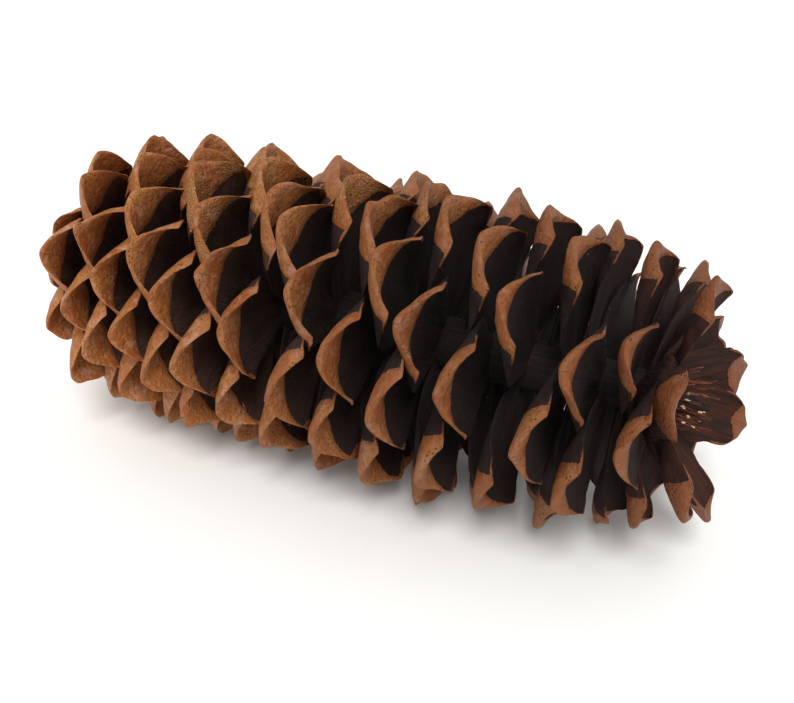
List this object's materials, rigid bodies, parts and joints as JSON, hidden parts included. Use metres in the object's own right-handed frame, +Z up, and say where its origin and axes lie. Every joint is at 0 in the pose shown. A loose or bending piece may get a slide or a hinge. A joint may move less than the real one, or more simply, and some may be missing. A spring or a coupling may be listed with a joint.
{
  "type": "sugar pine cone",
  "caption": "Long, open, ripe pine cone lying on its side, with thick woody scales standing out in a spiral round a slim axis.",
  "frame": {"origin": "on the surface that the cone lies on, below the middle of its box", "axes": "+X along the cone from the broken stalk to the tip, +Z up from the surface, +Y to the left of someone who looks along +X"},
  "size_m": [0.3126, 0.123, 0.1231],
  "materials": {
    "scale_wood": "dry, weathered cone scale wood: tan and pitted on the exposed outer ends, nearly black brown inside"
  },
  "bodies": {
    "root": {"cone": "scale_wood"}
  },
  "joints": []
}
